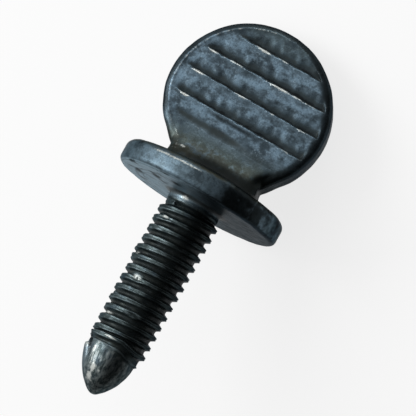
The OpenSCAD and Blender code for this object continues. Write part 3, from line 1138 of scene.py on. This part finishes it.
def seat_reflected_and_scored(paint, skin, tone):
    """The seat's painted reflection, pale on the left and fading out towards the right, with
    turned rings and strokes in it.
    """
    tone = paint.blend(tone, SEAT_REFLECTION, skin.seat * skin.across.step(-7, 6) * 0.95)
    rings = paint.node("ShaderNodeTexNoise", {"W": skin.radius, "Scale": 0.9, "Detail": 3},
                       noise_dimensions="1D")
    strokes = paint.noise(paint.stretched(skin.place, ACROSS_SEAT), *STROKES)
    left = skin.across.step(0, 5)
    scored = rings.step(0.54, 0.64) * 0.45 + strokes.step(0.52, 0.66) * left * 0.8
    return paint.blend(tone, SEAT_SCORE, skin.seat * scored)


def point_drawn_and_lit(paint, skin, tone):
    """Streaks drawn along the point, and painted light on its left side."""
    tone = paint.blend(tone, POINT_PALE, skin.point * skin.drawn.step(0.42, 0.62) * 0.7)
    dark = 1 - skin.drawn.step(0.32, 0.48)
    tone = paint.blend(tone, POINT_DARK, skin.point * dark * 0.65)
    return paint.blend(tone, POINT_LEFT_LIGHT, skin.point * skin.across.step(1.6, 3.3) * 0.7)


def soiled_and_shaded(paint, skin, tone):
    """Dirt and painted shade in the hollows, painted shade on the grooves and in the deepest
    hollows, the dirt and shade layer, and darker thread roots.
    """
    uneven = skin.mottle - 0.5
    tone = paint.blend(tone, HOLLOW, skin.hollow * 0.75)
    # Painted shade on the grooves' slopes and floors
    tone = paint.blend(tone, GROOVE_SLOPE, skin.slope * 0.92)
    tone = paint.blend(tone, GROOVE_FLOOR, (skin.pressed + uneven * 0.8).step(0.68, 1.05))
    tone = paint.blend(tone, DIRT_AND_SHADE_TONE, (skin.grime + uneven * 0.5).step(0.25, 0.9) * 0.9)
    # Painted shade in the deepest hollows below the blade
    tone = paint.blend(tone, DEEP, (skin.broad * -1).step(0.09, 0.2) * (1 - skin.blade))
    root = (skin.edge * -1 + uneven * 0.05).step(0.0, 0.06) * skin.thread
    return paint.blend(tone, THREAD_ROOT, root * 0.8)


def bared_and_highlit(paint, skin, tone):
    """Bare metal on the edges, the thread's crests painted lighter on the left, and the worn spots
    with their painted highlights.
    """
    tone = paint.blend(tone, BARE, skin.bare * 0.7)
    crest = skin.edge + (skin.mottle - 0.5) * 0.14 + (skin.clouds - 0.5) * 0.10
    crest = (crest + (skin.scratched - 0.5) * 0.12).step(0.0, 0.07)
    # The crests are painted lighter towards the left
    left = skin.across.step(-3, 2) * 0.6 + 0.2
    tone = paint.blend(tone, THREAD_CREST, crest * skin.thread * left)
    # Worn spots and their painted highlights on the thread
    tone = paint.blend(tone, BARE, (skin.worn - 0.3) * skin.thread * 0.8)
    scratches = 1 - skin.scratched.step(0.36, 0.5)
    tone = paint.blend(tone, THREAD_SCRATCH, skin.thread * scratches * 0.6)
    return paint.blend(tone, WORN_AND_HIGHLIT_BARE, skin.worn_and_highlit)


def dark_steel():
    """Dark oxidised plating, mottled pale blue, brown in the hollows and bare along its edges,
    with painted highlights and painted shade.
    """
    material = bpy.data.materials.new("dark_steel")
    paint = Paint(material)
    skin = Skin(paint)
    tone = plated(paint, skin)
    for finish in (browned, seat_reflected_and_scored, point_drawn_and_lit, soiled_and_shaded, bared_and_highlit):
        tone = finish(paint, skin, tone)
    rough = ROUGHNESS + (skin.mottle - 0.5) * 0.3 + skin.hollow * 0.1 + skin.slope * 0.15
    relief = skin.mottle * 0.6 + skin.grit * 0.4 + skin.drawn * skin.point * 0.6
    bump = paint.node("ShaderNodeBump", {"Height": relief, "Distance": BUMP_D, "Strength": 0.8})
    shader = material.node_tree.nodes["Principled BSDF"]
    paint.feed(shader.inputs["Base Color"], tone)
    paint.feed(shader.inputs["Roughness"], rough - skin.bare * 0.08)
    paint.feed(shader.inputs["Metallic"], METALLIC - skin.hollow * 0.4 - skin.worn_and_highlit * 0.35)
    paint.feed(shader.inputs["Normal"], bump)
    paint.feed(shader.inputs["Specular Tint"], SHEEN)
    return material


# --- The screw ---
def lay_down(mesh):
    """From upright millimetres to where the frame's screw lies, in metres."""
    turn = Matrix.Rotation(math.pi / 2 + LIE, 4, "Y")
    mesh.transform(Matrix.Translation(SEAT) @ turn @ Matrix.Scale(MM, 4))


def screw():
    mesh = joined([head(), threaded_rod(), bullet()])
    mesh = thinned(mesh, MOST_TRIANGLES)
    mesh.materials.clear()
    write_layers(mesh)
    points = points_of(mesh)
    bend(points)
    set_points(mesh, points)
    lay_down(mesh)
    for polygon in mesh.polygons:
        polygon.use_smooth = True
    piece = object_of(mesh, "thumb_screw_forging")
    mesh.materials.append(dark_steel())
    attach(piece, "root")
    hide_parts("thumb_screw")


screw()


# --- Camera ---
# Side of the square picture and where the seat's middle lies in it, in pixels
PICTURE_PX = 416
SEAT_PX = (195.44, 203.52)
# Distance from the seat in millimetres, and the pixels that a millimetre covers there
AWAY = 300
PX_PER_MM = 7.948
# Turn towards the screw's right and towards its tip, and roll of the camera
SIDE_ANGLE = math.radians(9.455)
TIP_ANGLE = math.radians(7.818)
ROLL = math.radians(28.81)
SENSOR_MM = 36


def camera():
    head_way = -TO_TIP
    front_way = Vector((math.sin(LIE), 0, math.cos(LIE)))
    right_way = head_way.cross(front_way)
    back = (math.cos(TIP_ANGLE) * math.cos(SIDE_ANGLE) * front_way
            + math.cos(TIP_ANGLE) * math.sin(SIDE_ANGLE) * right_way
            - math.sin(TIP_ANGLE) * head_way)
    up = (head_way - head_way.dot(back) * back).normalized()
    side = up.cross(back)
    right = math.cos(ROLL) * side + math.sin(ROLL) * up
    up = -math.sin(ROLL) * side + math.cos(ROLL) * up
    px = MM / PX_PER_MM
    place = SEAT + AWAY * MM * back
    place += right * (PICTURE_PX / 2 - SEAT_PX[0]) * px - up * (PICTURE_PX / 2 - SEAT_PX[1]) * px
    data = bpy.data.cameras.new("camera")
    data.sensor_fit = "HORIZONTAL"
    data.sensor_width = SENSOR_MM
    data.lens = PX_PER_MM * AWAY / PICTURE_PX * SENSOR_MM
    data.clip_start = 0.01
    data.clip_end = 10
    eye = bpy.data.objects.new("camera", data)
    eye.matrix_world = Matrix.Translation(place) @ Matrix((right, up, back)).transposed().to_4x4()
    bpy.context.scene.collection.objects.link(eye)
    bpy.context.scene.camera = eye


camera()


# --- Studio ---
# Lamps: way towards it, distance and breadth in metres, power
LAMPS = {
    "key": ((0.1, 0.8, 0.62), 0.5, 0.3, 1.6),
    "head_light": ((1.0, 0.25, 0.3), 0.5, 0.15, 0.35),
}
# Way towards the brightest part of the sky, and its dimmest and brightest level
SKY_WAY = Vector((0.25, 0.85, 0.3)).normalized()
SKY_LOW = 0.04
SKY_HIGH = 1.1
# Half the floor's side in metres, its colour, and the share of plain white in what is seen of it
FLOOR_HALF = 1.5
FLOOR_COLOUR = (0.93, 0.93, 0.93)
FLOOR_GLOW = 0.78


def area_light(name, way, distance, breadth, power):
    data = bpy.data.lights.new(name, "AREA")
    data.shape = "DISK"
    data.size = breadth
    data.energy = power
    lamp = bpy.data.objects.new(name, data)
    way = Vector(way).normalized()
    turn = way.to_track_quat("Z", "Y").to_matrix().to_4x4()
    lamp.matrix_world = Matrix.Translation(way * distance) @ turn
    bpy.context.scene.collection.objects.link(lamp)


def sky():
    world = bpy.data.worlds.new("world")
    paint = Paint(world)
    way = paint.node("ShaderNodeTexCoord", {}, "Generated")
    towards = paint.node("ShaderNodeVectorMath", {0: way, 1: tuple(SKY_WAY)}, "Value",
                         operation="DOT_PRODUCT")
    background = world.node_tree.nodes["Background"]
    level = towards.step(-0.1, 0.9) * (SKY_HIGH - SKY_LOW) + SKY_LOW
    paint.feed(background.inputs["Strength"], level)
    paint.feed(background.inputs["Color"], (1.0, 1.0, 1.0))
    bpy.context.scene.world = world


def floor():
    bm = bmesh.new()
    bmesh.ops.create_grid(bm, x_segments=1, y_segments=1, size=FLOOR_HALF)
    piece = object_of(mesh_of(bm), "floor")
    material = bpy.data.materials.new("floor")
    paint = Paint(material)
    shader = material.node_tree.nodes["Principled BSDF"]
    paint.feed(shader.inputs["Base Color"], FLOOR_COLOUR)
    paint.feed(shader.inputs["Roughness"], 1.0)
    paint.feed(shader.inputs["Specular IOR Level"], 0.0)
    camera_ray, glossy_ray, through_ray = (
        paint.node("ShaderNodeLightPath", {}, ray)
        for ray in ("Is Camera Ray", "Is Glossy Ray", "Is Transmission Ray"))
    glow = paint.node("ShaderNodeEmission", {"Strength": 1.0})
    seen = (camera_ray + glossy_ray + through_ray) * FLOOR_GLOW
    surface = Value(paint, shader.outputs[0])
    mixed = paint.node("ShaderNodeMixShader", {0: seen, 1: surface, 2: glow})
    paint.feed(material.node_tree.nodes["Material Output"].inputs["Surface"], mixed)
    piece.data.materials.append(material)


for lamp, (way, distance, breadth, power) in LAMPS.items():
    area_light(lamp, way, distance, breadth, power)
floor()
sky()
bpy.context.scene.view_settings.view_transform = "Standard"
